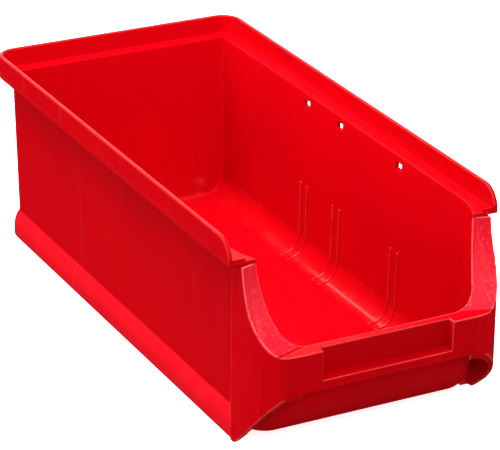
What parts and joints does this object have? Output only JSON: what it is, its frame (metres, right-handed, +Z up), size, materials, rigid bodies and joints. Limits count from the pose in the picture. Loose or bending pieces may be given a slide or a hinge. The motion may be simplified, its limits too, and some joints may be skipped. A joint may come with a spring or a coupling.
{
  "type": "hanging parts bin",
  "caption": "Open-fronted stacking and hanging parts bin in red plastic: stepped rim, flared foot rails, scooped front, curved wings and a label holder.",
  "frame": {"origin": "middle of the footprint, on the plane that the foot rails stand on", "axes": "+X to the bin's right, +Y to its back and hanging side, +Z up; the open front faces -Y"},
  "size_m": [0.102, 0.215, 0.075],
  "materials": {
    "red": "smooth moulded polypropylene, satin gloss",
    "matte_red": "finely drawn, dull moulded polypropylene"
  },
  "bodies": {
    "root": {"divider_ribs_left": "red", "divider_ribs_right": "red", "floor_panel": "red", "foot_corner_left": "red", "foot_corner_right": "red", "foot_rail_left": "red", "foot_rail_rear": "red", "foot_rail_right": "red", "front_cheek_left": "red", "front_cheek_right": "red", "front_haunch_left": "red", "front_haunch_right": "red", "front_nose": "red", "front_wall": "red", "hanging_lip": "red", "label_frame_left": "red", "label_frame_right": "red", "label_shelf": "red", "ledge_left": "red", "ledge_rear": "red", "ledge_right": "red", "lower_corner_left": "red", "lower_corner_rear": "red", "lower_corner_right": "red", "rear_corner_left": "red", "rear_corner_right": "red", "rear_wall": "red", "rim_corner_left": "red", "rim_corner_right": "red", "rim_wall_left": "red", "rim_wall_rear": "red", "rim_wall_right": "red", "scoop_strip_left": "matte_red", "scoop_strip_right": "matte_red", "side_wall_left": "red", "side_wall_right": "red", "stack_stop_left": "red", "stack_stop_right": "red", "wing_left": "red", "wing_right": "red"}
  },
  "joints": []
}
